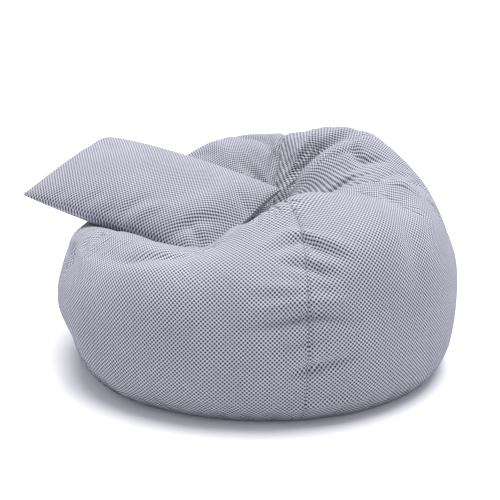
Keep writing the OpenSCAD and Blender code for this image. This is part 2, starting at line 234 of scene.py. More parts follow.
def ring_faces(rows, columns):
    """Quads between rows of points that close round, and a fan to the last point."""
    faces = []
    for low in range(0, (rows - 1) * columns, columns):
        high = low + columns
        for j in range(columns):
            n = (j + 1) % columns
            faces.append((low + j, low + n, high + n, high + j))
    last = (rows - 1) * columns
    return faces + [(last + j, last + (j + 1) % columns, rows * columns) for j in range(columns)]


# ---------------------------------------------------------------- cloth

FRAMES = 24             # frames in each simulation
LIGHT_PIN = 0.02        # weight of the pin on cloth that is free to move
CLOTH = {
    "quality": 6,
    "mass": 0.3,
    "tension_stiffness": 15,
    "compression_stiffness": 15,
    "shear_stiffness": 5,
    "bending_stiffness": 0.8,
    "air_damping": 2,
    "use_pressure": True,
    "pin_stiffness": 1,
}


def weigh(obj, name, weights):
    """A vertex group with these weights."""
    group = obj.vertex_groups.new(name=name)
    for i, weight in enumerate(weights):
        if weight > 0:
            group.add([i], float(weight), "REPLACE")


def simulate(obj, pressure, pin, loose, growth):
    """Runs Blender's cloth on the piece and applies the result. Cloth grows by the growth's first share where
    loose is 0 and by its second where loose is 1, both given as negative shrinking."""
    weigh(obj, "pin", pin)
    mod = obj.modifiers.new("cloth", "CLOTH")
    for key, value in CLOTH.items():
        setattr(mod.settings, key, value)
    mod.settings.uniform_pressure_force = pressure
    mod.settings.vertex_group_mass = "pin"
    mod.settings.effector_weights.gravity = 0
    weigh(obj, "loose", loose)
    mod.settings.vertex_group_shrink = "loose"
    mod.settings.shrink_min, mod.settings.shrink_max = growth
    mod.point_cache.frame_start = 1
    mod.point_cache.frame_end = FRAMES
    scene = bpy.context.scene
    for frame_number in range(1, FRAMES + 1):
        scene.frame_set(frame_number)
    shaped = obj.evaluated_get(bpy.context.evaluated_depsgraph_get())
    out = np.empty(len(shaped.data.vertices) * 3)
    shaped.data.vertices.foreach_get("co", out)
    obj.modifiers.remove(mod)
    scene.frame_set(1)
    obj.data.vertices.foreach_set("co", out)
    obj.data.update()
    return out.reshape(-1, 3)


def finer(grid, wrap):
    """Twice as many points along both directions of a table of points, on a smooth curve."""
    def along(g, closed):
        if closed:
            before, after = g[-1:], g[:2]
        else:
            before, after = 2 * g[:1] - g[1:2], 2 * g[-1:] - g[-2:-1]
        p = np.concatenate([before, g, after])
        mid = (9 * (p[1:-2] + p[2:-1]) - p[:-3] - p[3:]) / 16
        out = np.empty((len(g) + len(mid),) + g.shape[1:])
        out[0::2] = g
        out[1::2] = mid
        return out
    g = along(grid, False)
    return np.moveaxis(along(np.moveaxis(g, 1, 0), wrap), 0, 1)


# ---------------------------------------------------------------- the bag

PANEL_COLUMNS = 60      # simulated columns in each gore
PANEL_ROWS = 84         # simulated rows from the foot to the tip
BAG_PRESSURE = 2.5      # pressure inside, in the simulation's own units
BAG_GROWTH = (-0.01, -0.07)     # growth in mid gore and beside the seams, which gathers the cloth there
GATHER_REACH = 0.05     # distance from a seam over which the cloth is gathered
SEAM_HELD = 0.002       # cloth nearer than this to a seam is held
GRAIN = (0.15, 0.5, 0.5, 0.85)  # share across each gore at which the threads run straight up
HEM = 0.0025            # how far the cover turns in under its foot
DISC_INSET = 0.003      # how far inside the foot the hidden disc ends that closes the cover
DISC_HEIGHT = 0.0048    # height of that disc, between the base and the liner
HIDDEN = (0.1, 0.1)     # cloth place given to every corner of the turned-in foot and the disc
NORMAL_BLUR = 2         # blur, in cells, of the directions in which the inner layers lie under the cover


def bag_cloth(grid):
    """The grid of the four gores, filled: puffed up and gathered along its held seams."""
    columns = 4 * PANEL_COLUMNS
    points = np.concatenate([grid[:-1].reshape(-1, 3), grid[-1].mean(axis=0, keepdims=True)])
    cloth = new_mesh("bag_cloth", points, ring_faces(PANEL_ROWS, columns))
    row = np.arange(PANEL_ROWS)[:, None]
    share = (np.arange(columns) % PANEL_COLUMNS) / PANEL_COLUMNS
    steps = np.linalg.norm(np.diff(grid[:-1], axis=1, append=grid[:-1, :1]), axis=2)
    width = steps.mean(axis=1) * PANEL_COLUMNS
    from_seam = np.minimum(share, 1 - share)[None] * width[:, None]
    pin = np.where((row == 0) | (from_seam < SEAM_HELD), 1.0, LIGHT_PIN)
    loose = np.exp(-(from_seam / GATHER_REACH) ** 2)
    pin = np.append(pin.ravel(), 1.0)
    loose = np.append(loose.ravel(), 0)
    result = simulate(cloth, BAG_PRESSURE, pin, loose, BAG_GROWTH)
    bpy.data.objects.remove(cloth)
    sides = result[:-1].reshape(PANEL_ROWS, columns, 3)
    return np.concatenate([sides, np.repeat(result[-1][None, None], columns, 1)])


# Folds of the bag cover: height out of the surface and half width in metres, then the line they follow.
# A place on the bag is (turn, along): turn counts gores from the front seam, and along goes from the foot
# at 0 to the tip at 1.
BAG_FOLDS = [
    # top of the back rest: fuller over the right gore, drawn in at the rear seam and past the right seam
    (0.014, 0.045, [(1.74, 0.62), (1.62, 0.61), (1.48, 0.60)]),
    (-0.013, 0.040, [(2.07, 0.63), (1.97, 0.63), (1.86, 0.63)]),
    (-0.009, 0.050, [(1.28, 0.54), (1.17, 0.51), (1.05, 0.46)]),
    # the front right gore swells up against the right seam, which drops away behind it to a pointed end
    (0.020, 0.040, [(0.93, 0.62), (0.93, 0.72), (0.94, 0.84), (0.95, 0.93)]),
    (0.030, 0.052, [(-0.20, 0.66), (-0.08, 0.69), (0.05, 0.705), (0.18, 0.705), (0.34, 0.69)]),
    (-0.013, 0.014, [(1.035, 0.57), (1.035, 0.70), (1.05, 0.85), (1.10, 0.95)]),
    (0.008, 0.013, [(0.985, 0.575), (0.985, 0.64), (0.98, 0.72), (0.97, 0.80)]),
    (0.004, 0.006, [(1.0, 0.57), (1.0, 0.62), (1.0, 0.70), (1.0, 0.82)]),
    (0.009, 0.022, [(0.93, 0.60), (1.00, 0.61)]),
    (-0.009, 0.030, [(0.82, 0.60), (0.62, 0.53), (0.50, 0.45), (0.43, 0.35)]),
    # ribbon of cloth beside the rear seam
    (-0.031, 0.019, [(1.62, 0.63), (1.65, 0.70), (1.70, 0.76), (1.77, 0.81), (1.79, 0.87), (1.83, 0.94)]),
    (0.010, 0.012, [(1.77, 0.65), (1.80, 0.75), (1.83, 0.83), (1.88, 0.92)]),
    (0.013, 0.035, [(1.50, 0.64), (1.54, 0.75), (1.60, 0.85)]),
    (-0.005, 0.008, [(2.00, 0.45), (2.00, 0.60), (2.00, 0.75), (2.00, 0.92)]),
    # creases on the high side and on the back rest
    (-0.013, 0.014, [(1.57, 0.66), (1.48, 0.69), (1.38, 0.69), (1.34, 0.64)]),
    (-0.006, 0.010, [(1.48, 0.69), (1.48, 0.73), (1.48, 0.77)]),
    (-0.009, 0.015, [(2.41, 0.63), (2.39, 0.67), (2.38, 0.72)]),
    (-0.006, 0.012, [(2.22, 0.75), (2.18, 0.84)]),
    (-0.005, 0.010, [(1.95, 0.74), (1.92, 0.80)]),
    # the rim in front of the cushion, highest beside the left seam
    (0.022, 0.050, [(2.66, 0.45), (2.88, 0.49), (3.04, 0.53), (3.20, 0.54), (3.34, 0.55)]),
    (0.004, 0.040, [(2.62, 0.38), (2.80, 0.41), (2.98, 0.43), (3.10, 0.44)]),
    (-0.006, 0.018, [(3.10, 0.48), (3.12, 0.54), (3.14, 0.60)]),
    (-0.030, 0.040, [(3.64, 0.68), (3.59, 0.61), (3.54, 0.54)]),
    (0.010, 0.070, [(3.30, 0.44), (3.52, 0.45), (3.76, 0.47)]),
    (0.009, 0.070, [(4.12, 0.44), (4.32, 0.46), (4.52, 0.48)]),
    (-0.007, 0.012, [(3.60, 0.56), (3.54, 0.515), (3.46, 0.475), (3.40, 0.44)]),
    (0.007, 0.025, [(2.95, 0.50), (3.30, 0.50), (3.50, 0.53), (3.66, 0.58)]),
    (-0.005, 0.018, [(3.10, 0.43), (3.33, 0.43), (3.48, 0.46), (3.62, 0.52)]),
    # the front sinks in a little below its rim, on both sides of the front seam
    (-0.006, 0.060, [(3.36, 0.24), (3.50, 0.25), (3.70, 0.30), (3.86, 0.30)]),
    (-0.007, 0.060, [(4.08, 0.29), (4.25, 0.28), (4.45, 0.27), (4.62, 0.27)]),
    # both ends are a little slimmer below the rim than the gores are cut
    (-0.011, 0.060, [(2.72, 0.33), (2.95, 0.34), (3.15, 0.36), (3.28, 0.37)]),
    (-0.007, 0.055, [(0.72, 0.41), (0.92, 0.42), (1.15, 0.42)]),
    # puckers of the front seam, from the rim down
    (0.007, 0.014, [(3.87, 0.53), (3.95, 0.56), (4.07, 0.51), (4.18, 0.45)]),
    (-0.009, 0.013, [(3.92, 0.51), (4.00, 0.52), (4.06, 0.48), (4.14, 0.44)]),
    (-0.008, 0.012, [(3.93, 0.46), (4.02, 0.43), (4.10, 0.40)]),
    (0.006, 0.014, [(3.86, 0.40), (3.94, 0.39), (4.00, 0.38)]),
    (-0.013, 0.014, [(3.82, 0.30), (3.93, 0.31), (4.03, 0.315), (4.15, 0.285)]),
    (0.007, 0.013, [(3.86, 0.345), (3.98, 0.35), (4.10, 0.34)]),
    (-0.006, 0.010, [(3.90, 0.245), (3.98, 0.25), (4.04, 0.25)]),
    (-0.012, 0.012, [(3.97, 0.18), (4.04, 0.19), (4.13, 0.20)]),
    (0.006, 0.010, [(3.97, 0.07), (4.07, 0.08), (4.18, 0.075)]),
    (-0.008, 0.035, [(3.73, 0.43), (3.77, 0.30), (3.79, 0.17)]),
    # the left seam draws in above the foot
    (-0.015, 0.040, [(2.85, 0.15), (3.00, 0.16), (3.18, 0.15)]),
    (-0.018, 0.050, [(2.88, 0.08), (3.08, 0.09), (3.28, 0.06)]),
    (-0.006, 0.014, [(2.90, 0.37), (3.02, 0.38), (3.10, 0.37)]),
]
BAG_LINE = 60           # samples along the line of each fold of the bag
FOLD_FADE = 0.12        # a fold starts and ends at this place of a half sine wave, so it fades out
FADE_POWER = 0.8        # and this power of the wave keeps its middle full
FOLD_REACH = 3          # a fold is left out beyond this many half widths from its line
NO_FOLD = 9.0           # distance from a fold, in metres, given to points that are out of its reach


def along_line(points, count):
    """Points of a Catmull-Rom curve through the given points."""
    points = np.array(points, float)
    ends = np.concatenate([2 * points[:1] - points[1:2], points, 2 * points[-1:] - points[-2:-1]])
    at = np.linspace(0, len(points) - 1 - 1e-9, count)
    i = at.astype(int)
    f = (at - i)[:, None]
    p0, p1, p2, p3 = ends[i], ends[i + 1], ends[i + 2], ends[i + 3]
    return p1 + 0.5 * f * (p2 - p0 + f * (2 * p0 - 5 * p1 + 4 * p2 - p3 + f * (3 * (p1 - p2) + p3 - p0)))


def on_grid(grid, place):
    """Points of the closed grid at rows of (turn, along)."""
    rows, columns = grid.shape[:2]
    c = place[:, 0] / 4 * columns
    r = np.clip(place[:, 1], 0, 1) * (rows - 1)
    i, j = np.minimum(r.astype(int), rows - 2), np.floor(c).astype(int)
    f, h = (r - i)[:, None], (c - j)[:, None]
    j, n = j % columns, (j + 1) % columns
    below = (1 - h) * grid[i, j] + h * grid[i, n]
    above = (1 - h) * grid[i + 1, j] + h * grid[i + 1, n]
    return (1 - f) * below + f * above


def grid_normals(grid):
    """The way out of the surface at each point of a closed grid."""
    across = np.roll(grid, -1, 1) - np.roll(grid, 1, 1)
    normal = np.cross(across, np.gradient(grid, axis=0))
    return normal / (np.linalg.norm(normal, axis=2, keepdims=True) + 1e-12)


def fold_height(points, line, height, width):
    """Height of one fold at each point: a soft ridge along the line that fades out at both ends."""
    best = np.full(len(points), NO_FOLD)
    at = np.zeros(len(points))
    reach = FOLD_REACH * width
    low, high = line.min(axis=0) - reach, line.max(axis=0) + reach
    near = np.flatnonzero(np.all((points > low) & (points < high), axis=1))
    for i, p in enumerate(line):
        d = np.linalg.norm(points[near] - p, axis=1)
        closer = d < best[near]
        best[near[closer]] = d[closer]
        at[near[closer]] = i / (len(line) - 1)
    fade = np.sin(math.pi * (FOLD_FADE + (1 - 2 * FOLD_FADE) * at)) ** FADE_POWER
    return height * fade * np.exp(-(best / width) ** 2)


def folded(grid, rest):
    """The grid with the folds of the cover worked in."""
    normals = grid_normals(grid)
    points = grid.reshape(-1, 3)
    total = np.zeros(len(points))
    for height, width, places in BAG_FOLDS:
        line = on_grid(rest, along_line(places, BAG_LINE))
        total += fold_height(points, line, height, width)
    return grid + total.reshape(grid.shape[:2])[..., None] * normals


def gore_uvs(grid, columns):
    """Cloth coordinates in metres for each gore, across from its grain line and along from its foot, and
    seam coordinates: across from the nearer seam, positive inside the gore that starts there."""
    rows = len(grid)
    cloth = np.zeros((4, rows, columns + 1, 2))
    seam = np.zeros((4, rows, columns + 1, 2))
    share = np.arange(columns + 1) / columns
    for k in range(4):
        panel = grid[:, (np.arange(columns + 1) + k * columns) % (4 * columns)]
        width = np.linalg.norm(np.diff(panel, axis=1), axis=2).sum(axis=1)[:, None]
        cloth[k, :, :, 0] = (share - GRAIN[k])[None] * width
        cloth[k, 1:, :, 1] = np.cumsum(np.linalg.norm(np.diff(panel, axis=0), axis=2), axis=0)
        seam[k, :, :, 0] = np.where(share < 0.5, share, share - 1)[None] * width
        seam[k, :, :, 1] = cloth[k, :, :, 1]
    return {"cloth": cloth, "seam": seam}


def corner_values(table, columns):
    """Values at each face corner, in the order of the faces of ring_faces."""
    rows = table.shape[1]
    out = []
    for i in range(rows - 2):
        for k in range(4):
            t = table[k]
            for c in range(columns):
                out += [t[i, c], t[i, c + 1], t[i + 1, c + 1], t[i + 1, c]]
    for k in range(4):
        t = table[k]
        for c in range(columns):
            out += [t[rows - 2, c], t[rows - 2, c + 1], t[rows - 1, c]]
    return out


def bag_cover(grid, flat):
    """The four gores as one closed skin, with cloth coordinates from the form without folds; inside the foot
    a hidden disc closes it just above the base."""
    rows, columns = grid.shape[:2]
    foot = grid[0]
    inward = foot.mean(axis=0) - foot
    inward /= np.linalg.norm(inward, axis=1, keepdims=True)
    turned = foot + inward * HEM * np.array((1, 1, 0))
    disc = foot + inward * DISC_INSET
    disc[:, 2] = DISC_HEIGHT
    points = np.concatenate([grid[:-1].reshape(-1, 3), grid[-1:, 0], turned, disc])
    faces = ring_faces(rows - 1, columns)
    tables = gore_uvs(flat, columns // 4)
    uvs = {key: corner_values(table, columns // 4) for key, table in tables.items()}
    first = (rows - 1) * columns + 1
    for low, high in ((0, first), (first, first + columns)):
        for j in range(columns):
            n = (j + 1) % columns
            faces.append((low + n, low + j, high + j, high + n))
    faces.append(tuple(first + columns + j for j in range(columns - 1, -1, -1)))
    corners = 2 * 4 * columns + columns     # of the two rings of quads and of the disc
    for values in uvs.values():
        values += [HIDDEN] * corners
    cover = new_mesh("bag_cover", points, faces, uvs)
    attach(cover, "bag")
    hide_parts(*GORES)
    return cover


def inner_bag(skin, name, slot, node, depth, low):
    """A closed layer inside the cover, this deep under its surface and this high above the floor."""
    coarse = skin[::2, ::2]
    rows, columns = coarse.shape[:2]
    normals = smooth(smooth(grid_normals(coarse), NORMAL_BLUR, 0, False), NORMAL_BLUR, 1, True)
    grid = coarse - depth * normals
    grid[-1] = coarse[-1] - (0, 0, depth)
    grid[..., 2] = np.maximum(grid[..., 2], low)
    points = np.concatenate([grid[:-1].reshape(-1, 3), grid[-1:, 0]])
    faces = ring_faces(rows - 1, columns) + [tuple(range(columns - 1, -1, -1))]
    piece = new_mesh(name, points, faces)
    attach(piece, "bag")
    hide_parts(node)
    return piece


# ---------------------------------------------------------------- the cushion

CUSHION_COLUMNS = 96    # simulated columns along the cushion
CUSHION_ROWS = 58       # simulated rows across it
CUT_ALLOWANCE = 0.016   # the panels are cut this much longer and wider than the filled cushion
PULL_IN = 0.004         # how far its sides curve in between the corners; the zip keeps its side straight
EAR = 0.013             # how far its ends reach beyond the filled length
LEAN = 0.017            # how much the free long side hangs below the flat cushion
TOP_CROWN = 0.55        # the lower this power, the flatter the middle and the steeper the sides
UNDER_CROWN = 0.42
CUSHION_PRESSURE = 3.0  # as for the bag
CUSHION_GROWTH = (0.0, -0.06)   # growth of the middle and of the edge, which puckers the seam
EDGE_HEIGHT = 0.03      # cloth is counted as edge up to about this height
REST_GAP = 0.003        # space left between the cushion and the bag under it
REST_EASE = 4           # reach, in cells of the skin, over which cloth is evened out where it is pressed
REST_SLOPE = 8          # and over which it slopes down to the pressed place

# How far each corner is rounded off, as a share of the half length, and how far it sags in metres, for the
# corners (x, y). The higher a power, the nearer to the corner its effect stays.
CORNERS = {(-1, -1): (0.00, 0.002), (-1, 1): (0.06, 0.0), (1, 1): (0.0, 0.004), (1, -1): (-0.02, 0.018)}
ROUNDING_POWER = 12
SAG_POWER = 2

# Folds of the cushion's top: height and half width in metres, then the line they follow as (x, y) from -1
# to 1.
CUSHION_FOLDS = [
    (-0.013, 0.030, [(0.93, -0.80), (0.95, -0.30), (0.95, 0.30)]),
    (0.009, 0.032, [(0.66, -0.75), (0.70, -0.20), (0.72, 0.40)]),
    (-0.008, 0.014, [(0.60, -0.97), (0.70, -0.60), (0.86, -0.25)]),
    (-0.006, 0.012, [(0.99, 0.20), (0.82, 0.32), (0.66, 0.58)]),
    (-0.006, 0.014, [(0.10, -0.98), (0.12, -0.75), (0.20, -0.55)]),
    (0.004, 0.014, [(0.24, -0.98), (0.28, -0.72), (0.42, -0.50)]),
    (-0.004, 0.014, [(-0.30, -0.98), (-0.27, -0.80), (-0.20, -0.66)]),
    (-0.003, 0.012, [(-0.62, -0.98), (-0.59, -0.85), (-0.55, -0.74)]),
    (-0.007, 0.012, [(0.93, -0.95), (0.86, -0.75), (0.70, -0.62)]),
    (0.004, 0.020, [(0.45, -0.90), (0.52, -0.50), (0.62, -0.10)]),
    (-0.004, 0.014, [(-0.05, -0.98), (-0.02, -0.80)]),
    (-0.004, 0.020, [(-0.95, 0.55), (-0.75, 0.50), (-0.55, 0.30)]),
]
CUSHION_LINE = 40       # samples along the line of each fold of the cushion
TRACK_BLUR = 2          # blur along that line, in samples, once it lies on the cushion


class Seat:
    """The cushion's own axes, middle and size, read from its panels and joints."""

    def __init__(self):
        axes = {j["name"]: j["axis"] for j in frame["joints"]}
        x = -np.array(axes["cushion_zip_travel"])
        z = np.array(axes["cushion_zip_pull_swing"])
        panels = ("cushion_top_panel", "cushion_bottom_panel")
        points = np.array([v.co for n in panels for v in nodes[n].data.vertices])
        self.axes = np.stack([x, np.cross(z, x), z])
        flat = points @ self.axes.T
        self.middle = (flat.min(axis=0) + flat.max(axis=0)) / 2
        self.half = (flat.max(axis=0) - flat.min(axis=0)) / 2

    def to_world(self, local):
        return (local + self.middle) @ self.axes


def spans():
    """Where the columns and the rows of the cushion lie, from -1 to 1."""
    u = (2 * np.arange(CUSHION_COLUMNS + 1) / CUSHION_COLUMNS - 1)[:, None]
    v = (2 * np.arange(CUSHION_ROWS + 1) / CUSHION_ROWS - 1)[None]
    return u, v


def nearness(corner, power):
    """1 at this corner of the cushion, falling off to 0 at the others."""
    u, v = spans()
    return ((1 + u * corner[0]) * (1 + v * corner[1]) / 4) ** power


def pillow_grid(seat):
    """Both panels as tables of points, top first, joined round their edge at a knife edge."""
    u, v = spans()
    soft = 1 - sum(cut * nearness(corner, ROUNDING_POWER) for corner, (cut, _) in CORNERS.items())
    x = u * (seat.half[0] + EAR - PULL_IN * (1 - v * v)) * soft
    y = v * (seat.half[1] - PULL_IN * (1 - u * u) * (1 - v) / 2) * soft
    crown = (1 - u * u) * (1 - v * v)
    return np.stack([np.stack([x, y, seat.half[2] * crown ** TOP_CROWN], -1),
                     np.stack([x, y, -seat.half[2] * crown ** UNDER_CROWN], -1)])


def pillow_points(table):
    """The points of both panels in a list: the whole top, then the bottom without the rim that they share."""
    return np.concatenate([table[0].reshape(-1, 3), table[1, 1:-1, 1:-1].reshape(-1, 3)])


def pillow_table(points):
    """Both panels as tables again, from such a list."""
    shape = (CUSHION_COLUMNS + 1, CUSHION_ROWS + 1, 3)
    top = points[:shape[0] * shape[1]].reshape(shape)
    bottom = top.copy()
    bottom[1:-1, 1:-1] = points[shape[0] * shape[1]:].reshape(shape[0] - 2, shape[1] - 2, 3)
    return np.stack([top, bottom])


def pillow_mesh(name, table, seat):
    """A closed cushion with cloth coordinates along its cut panels and seam coordinates from their edge."""
    nx, ny = CUSHION_COLUMNS, CUSHION_ROWS
    size = seat.half[:2] + CUT_ALLOWANCE / 2

    def number(side, i, j):
        if side == 0 or i in (0, nx) or j in (0, ny):
            return i * (ny + 1) + j
        return (nx + 1) * (ny + 1) + (i - 1) * (ny - 1) + j - 1

    def cloth_place(side, i, j):
        return ((2 * i / nx - 1) * size[0] * (1 - 2 * side), (2 * j / ny - 1) * size[1])

    def seam_place(i, j):
        u, v = (2 * i / nx - 1) * size[0], (2 * j / ny - 1) * size[1]
        across = (size[0] - abs(u), size[1] - abs(v))
        return (across[0], v) if across[0] < across[1] else (across[1], u)

    faces, cloth, seam = [], [], []
    for side in (0, 1):
        for i in range(nx):
            for j in range(ny):
                quad = [(i, j), (i + 1, j), (i + 1, j + 1), (i, j + 1)]
                if side == 1:
                    quad.reverse()
                faces.append(tuple(number(side, p, q) for p, q in quad))
                cloth += [cloth_place(side, p, q) for p, q in quad]
                seam += [seam_place(p, q) for p, q in quad]
    return new_mesh(name, pillow_points(table), faces, {"cloth": cloth, "seam": seam})


def sagged(table):
    """The filled cushion leaning to its free side, its corners down, with the folds of its top worked in."""
    _, v = spans()
    drop = LEAN * (1 - v) / 2
    for corner, (_, fall) in CORNERS.items():
        drop = drop + fall * nearness(corner, SAG_POWER)
    points = table[0].reshape(-1, 3)
    rise = np.zeros(len(points))
    for height, width, places in CUSHION_FOLDS:
        line = along_line(places, CUSHION_LINE)
        i = (line[:, 0] + 1) / 2 * CUSHION_COLUMNS
        j = (line[:, 1] + 1) / 2 * CUSHION_ROWS
        track = table[0][np.round(i).astype(int), np.round(j).astype(int)]
        rise += fold_height(points, smooth(track, TRACK_BLUR, 0, False), height, width)
    out = table.copy()
    out[..., 2] -= drop[None]
    out[0, 1:-1, 1:-1, 2] += rise.reshape(table.shape[1:3])[1:-1, 1:-1]
    return out


def cushion_form(seat):
    """The filled cushion in world coordinates."""
    table = pillow_grid(seat)
    points = pillow_points(table)
    seam = np.where(abs(points[:, 2]) < 1e-6, 1.0, LIGHT_PIN)
    edge = np.exp(-(abs(points[:, 2]) / EDGE_HEIGHT) ** 2)
    cloth = pillow_mesh("cushion_cloth", table, seat)
    table = pillow_table(simulate(cloth, CUSHION_PRESSURE, seam, edge, CUSHION_GROWTH))
    bpy.data.objects.remove(cloth)
    return seat.to_world(sagged(table))


def pressed(skin, under):
    """The bag's skin pushed down to the underside of the cushion wherever the cushion lies on it: once, with
    the cloth around it evened out, and once more where that has raised it again."""
    number = np.arange(under[..., 0].size).reshape(under.shape[:2])
    quads = np.stack([number[:-1, :-1], number[1:, :-1], number[1:, 1:], number[:-1, 1:]], -1)
    quads = quads.reshape(-1, 4).tolist()
    tree = BVHTree.FromPolygons([Vector(p) for p in under.reshape(-1, 3)], quads)
    up = Vector((0, 0, 1))
    out = skin.copy()
    for last in (False, True):
        push = np.zeros(skin.shape[:2])
        for place in np.ndindex(push.shape):
            x, y, z = out[place]
            hit = tree.ray_cast(Vector((x, y, 0)), up)
            if hit[0] is not None:
                push[place] = max(0, z + REST_GAP - hit[0].z)
        slope = smooth(smooth(push, REST_SLOPE, 0, False), REST_SLOPE, 1, True)
        push = np.maximum(push, slope)
        out[..., 2] -= push
        if not last:
            eased = smooth(smooth(out, REST_EASE, 0, False), REST_EASE, 1, True)
            out += (eased - out) * np.clip(push / REST_GAP, 0, 1)[..., None]
    return out


def cushion_piece(name, slot, replaced, table, seat, thick, plane):
    """One layer of the cushion: this share of its thickness and of its length and width."""
    middle = table.mean(axis=0, keepdims=True)
    centre = middle.mean(axis=(0, 1, 2))
    layer = centre + (middle + (table - middle) * thick - centre) * plane
    piece = pillow_mesh(name, layer, seat)
    sub = piece.modifiers.new("finer", "SUBSURF")
    sub.levels = sub.render_levels = 1
    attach(piece, "cushion")
    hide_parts(*replaced)
    return piece


# ---------------------------------------------------------------- materials

class Shading:
    """A procedural material under construction."""

    def __init__(self, name):
        self.material = bpy.data.materials.new(name)
        self.material.use_nodes = True
        self.tree = self.material.node_tree
        self.shader = self.tree.nodes["Principled BSDF"]

    def feed(self, made, inputs):
        """Gives a node's inputs numbers, colours or the outputs of other nodes."""
        for key, value in inputs.items():
            if isinstance(value, bpy.types.NodeSocket):
                self.tree.links.new(value, made.inputs[key])
            else:
                made.inputs[key].default_value = value

    def node(self, kind, inputs, **settings):
        made = self.tree.nodes.new(kind)
        for key, value in settings.items():
            setattr(made, key, value)
        self.feed(made, inputs)
        return made

    def math(self, operation, *values):
        return self.node("ShaderNodeMath", dict(enumerate(values)), operation=operation).outputs[0]

    def ramp(self, value, *stops):
        """Colours along a value, each stop given as (place, (red, green, blue)), in rising order."""
        made = self.node("ShaderNodeValToRGB", {0: value})
        elements = made.color_ramp.elements
        elements[0].position, elements[-1].position = stops[0][0], stops[-1][0]
        for at, _ in stops[1:-1]:
            elements.new(at)
        for element, (_, colour) in zip(elements, stops):
            element.color = (*colour, 1)
        return made.outputs[0]

    def times(self, colour, shade):
        """The colour multiplied by a number."""
        inputs = {0: 1.0, 6: colour, 7: shade}
        return self.node("ShaderNodeMix", inputs, data_type="RGBA", blend_type="MULTIPLY").outputs[2]

    def noise(self, place, scale, detail=2.0):
        inputs = {"Vector": place, "Scale": scale, "Detail": detail}
        return self.node("ShaderNodeTexNoise", inputs).outputs[0]

    def stretch(self, place, scale):
        """The same place scaled along its three axes, which draws a pattern out or squeezes it."""
        return self.node("ShaderNodeMapping", {"Vector": place, "Scale": scale}).outputs[0]

    def object_place(self, axes=None):
        """Object coordinates in metres, turned into the given axes if there are any."""
        place = self.node("ShaderNodeTexCoord", {}).outputs["Object"]
        if axes is None:
            return place
        turn = Matrix(axes).to_euler()
        return self.node("ShaderNodeMapping", {"Vector": place, "Rotation": tuple(turn)}).outputs[0]

    def split(self, place):
        return self.node("ShaderNodeSeparateXYZ", {0: place}).outputs

    def wave(self, value, pitch):
        """A cosine along a length in metres."""
        return self.math("COSINE", self.math("MULTIPLY", value, 2 * math.pi / pitch))

    def bell(self, value, width):
        """1 where the value is nothing, falling off to nothing beyond this width."""
        scaled = self.math("DIVIDE", value, width)
        return self.math("EXPONENT", self.math("MULTIPLY", self.math("MULTIPLY", scaled, scaled), -1.0))

    def finish(self, colour, height, distance, roughness, **sockets):
        """Joins colour and relief to the shader; the other sockets are named with _ for spaces."""
        bump = self.node("ShaderNodeBump", {"Height": height, "Distance": distance, "Strength": 1.0})
        sockets = {key.replace("_", " "): value for key, value in sockets.items()}
        sockets.update({"Base Color": colour, "Normal": bump.outputs[0], "Roughness": roughness})
        self.feed(self.shader, sockets)
        return self.material


WEAVE_PITCH = 0.0060    # metres between two rows of pockets in the waffle weave
WANDER = 0.0022         # width of the band in which these rows stray to and fro
WEAVE_DEPTH = 0.0016    # height of the ribs over the pockets
PAINTED_POCKET_SHADE = (0.026, 0.028, 0.042)     # painted shade at the bottom of the pockets
# painted shade on the sides of the pockets
POCKET_SIDE_SHADE = (0.10, 0.10, 0.13)
PALE_RIB = (0.41, 0.412, 0.485)
RIB_TOP = (0.50, 0.50, 0.58)
LIT_POCKETS = 0.6       # share of the contrast lost where cloth faces up and light falls into its pockets
SEAM_GROOVE = 0.0010    # half width of the groove at a seam
SEAM_EDGE = 0.003       # distance from the seam to the middle of its raised edge
EDGE_WIDTH = 0.0016     # half width of that edge
STITCH_LINE = 0.0055    # distance from the seam to its row of stitches
STITCH_WIDTH = 0.0009   # half width of that row
STITCH_PITCH = 0.0075   # length of a stitch and the space after it
STITCH_FROM = -0.35     # a stitch lies where the cosine along the row is above this


def waffle(s, x, y, place):
    """Waffle weave on the bias: its height, from 0 in the pockets to 1 on the ribs, and its colour, with
    painted shade in the pockets, less of it where the cloth faces up.
    """
    wander = s.math("MULTIPLY", s.math("SUBTRACT", s.noise(place, 30.0), 0.5), WANDER)
    pitch = WEAVE_PITCH * math.sqrt(2)
    one = s.wave(s.math("ADD", s.math("SUBTRACT", x, y), wander), pitch)
    two = s.wave(s.math("SUBTRACT", s.math("ADD", x, y), wander), pitch)
    yarn = s.noise(place, 900.0)
    height = s.math("MULTIPLY_ADD", s.math("ADD", one, two), 0.25, 0.5)
    rough = s.math("MULTIPLY_ADD", s.math("SUBTRACT", yarn, 0.5), 0.35, height)
    # painted light: the pockets' painted shade is lightened on cloth that faces up, as light falls into them
    # there
    _, _, facing_up = s.split(s.node("ShaderNodeNewGeometry", {}).outputs["Normal"])
    lit = s.math("POWER", s.math("MAXIMUM", facing_up, 0.0), 2.0)
    depth = s.math("SUBTRACT", 1.0, s.math("MULTIPLY", lit, LIT_POCKETS))
    shade = s.math("MULTIPLY_ADD", s.math("SUBTRACT", rough, 0.5), depth, 0.5)
    # the ramp paints shade into the pockets, from dark at their bottom to the yarn's own colour on the ribs
    pattern = s.ramp(shade, (0.20, PAINTED_POCKET_SHADE), (0.36, POCKET_SIDE_SHADE), (0.60, PALE_RIB), (1.0, RIB_TOP))
    worn = s.math("MULTIPLY_ADD", s.noise(place, 7.0, 4.0), 0.30, 0.85)
    return rough, s.times(pattern, worn)


